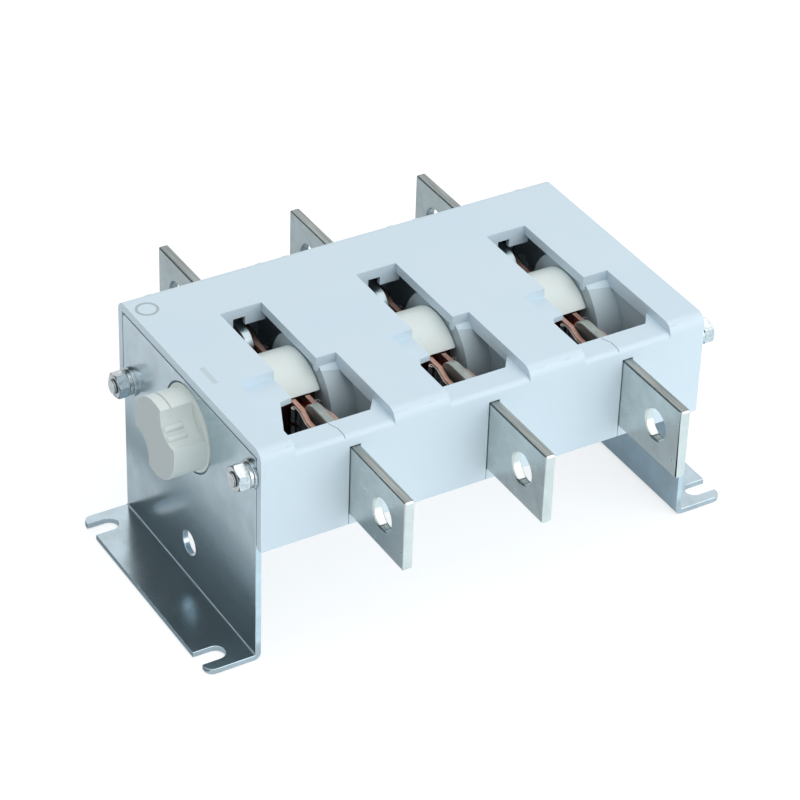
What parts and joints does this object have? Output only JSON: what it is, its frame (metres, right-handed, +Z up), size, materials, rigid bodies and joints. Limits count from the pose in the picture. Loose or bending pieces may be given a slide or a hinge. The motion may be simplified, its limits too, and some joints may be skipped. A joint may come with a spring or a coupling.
{
  "type": "switch disconnector",
  "caption": "Rotary load-break switch disconnector with flat terminals, windows over the contact break, side brackets and a shaft coupling on its end",
  "frame": {"origin": "middle of the mounting plane, under the middle of the housing", "axes": "+X along the shaft from the coupling end to the far end, +Y to the rear terminals, +Z up from the mounting plane; the shaft axis lies on Y 0"},
  "size_m": [0.1958, 0.163, 0.082],
  "materials": {
    "housing": "fine satin moulding",
    "housing_base": "fine satin moulding",
    "zinc_sheet": "bright zinc plating",
    "zinc_steel": "bright zinc plating",
    "bare_steel": "plain spring steel",
    "tinned_copper": "bright tin plating on copper",
    "copper": "bare rolled copper",
    "nylon": "natural moulded nylon"
  },
  "bodies": {
    "housing": {"housing_base": "housing_base", "housing_cover": "housing", "left_bracket": "zinc_sheet", "right_bracket": "zinc_sheet", "front_terminal_1": "tinned_copper", "front_fingers_1": "copper", "front_springs_1": "bare_steel", "rear_terminal_1": "tinned_copper", "rear_fingers_1": "copper", "rear_springs_1": "bare_steel", "finger_packers_1": "copper", "finger_rivets_1": "bare_steel", "front_terminal_2": "tinned_copper", "front_fingers_2": "copper", "front_springs_2": "bare_steel", "rear_terminal_2": "tinned_copper", "rear_fingers_2": "copper", "rear_springs_2": "bare_steel", "finger_packers_2": "copper", "finger_rivets_2": "bare_steel", "front_terminal_3": "tinned_copper", "front_fingers_3": "copper", "front_springs_3": "bare_steel", "rear_terminal_3": "tinned_copper", "rear_fingers_3": "copper", "rear_springs_3": "bare_steel", "finger_packers_3": "copper", "finger_rivets_3": "bare_steel", "terminal_pins": "bare_steel", "fixing_studs": "zinc_steel", "flat_washers": "zinc_steel", "spring_washers": "zinc_steel", "hex_nuts": "zinc_steel", "housing_screws": "zinc_steel"},
    "rotor": {"shaft_coupling": "nylon", "retaining_ring": "bare_steel", "drum_1": "nylon", "moving_blade_1": "copper", "link_shaft_1": "bare_steel", "drum_2": "nylon", "moving_blade_2": "copper", "link_shaft_2": "bare_steel", "drum_3": "nylon", "moving_blade_3": "copper", "link_shaft_3": "bare_steel"}
  },
  "joints": [
    {"name": "rotor_turn", "type": "hinge", "parent": "housing", "child": "rotor", "pos_m": [0, 0, 0.0615], "axis": [1, 0, 0], "range_deg": [0, 90]}
  ]
}
